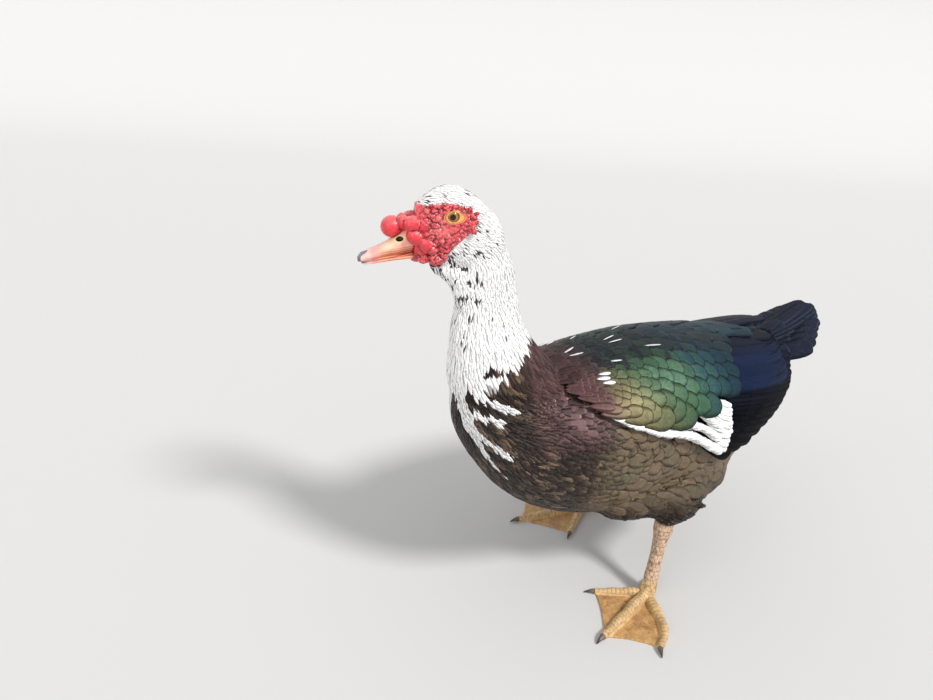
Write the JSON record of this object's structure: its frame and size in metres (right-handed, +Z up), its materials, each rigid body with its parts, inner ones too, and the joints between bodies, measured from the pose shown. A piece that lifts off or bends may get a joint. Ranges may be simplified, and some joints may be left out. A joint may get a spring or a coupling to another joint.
{
  "type": "muscovy duck",
  "caption": "Life-size muscovy drake standing at rest: white head with red caruncles, folded glossy dark wings and a broad roofed tail.",
  "frame": {"origin": "On the floor, under the middle of the bird's bounding box.", "axes": "+X runs from the bill back to the tail, because the drake looks along -X; +Y is its right side; +Z is up."},
  "size_m": [0.5898, 0.3065, 0.4435],
  "materials": {
    "dark_plumage": "brown-black body feathers",
    "white_plumage": "white feathers with fine black dashes",
    "wing_plumage": "dark feathers with a green gloss",
    "tail_plumage": "blue-black gloss",
    "caruncle_skin": "moist red skin",
    "bill": "pink horn, satin",
    "nail": "dark horn, satin",
    "eye": "wet gloss",
    "scaled_skin": "fine scales",
    "claw": "dark horn, satin"
  },
  "bodies": {
    "root": {"torso": "dark_plumage", "neck_lower": "dark_plumage", "neck_upper": "white_plumage", "wing_left": "wing_plumage", "wing_right": "wing_plumage", "tail": "tail_plumage", "head": "white_plumage", "face": "caruncle_skin", "bill_upper": "bill", "bill_nail": "nail", "bill_lower": "bill", "eye_left": "eye", "eye_right": "eye", "thigh_left": "dark_plumage", "shank_left": "scaled_skin", "foot_left": "scaled_skin", "claw_inner_left": "claw", "claw_middle_left": "claw", "claw_outer_left": "claw", "claw_hind_left": "claw", "thigh_right": "dark_plumage", "shank_right": "scaled_skin", "foot_right": "scaled_skin", "claw_inner_right": "claw", "claw_middle_right": "claw", "claw_outer_right": "claw", "claw_hind_right": "claw"}
  },
  "joints": []
}
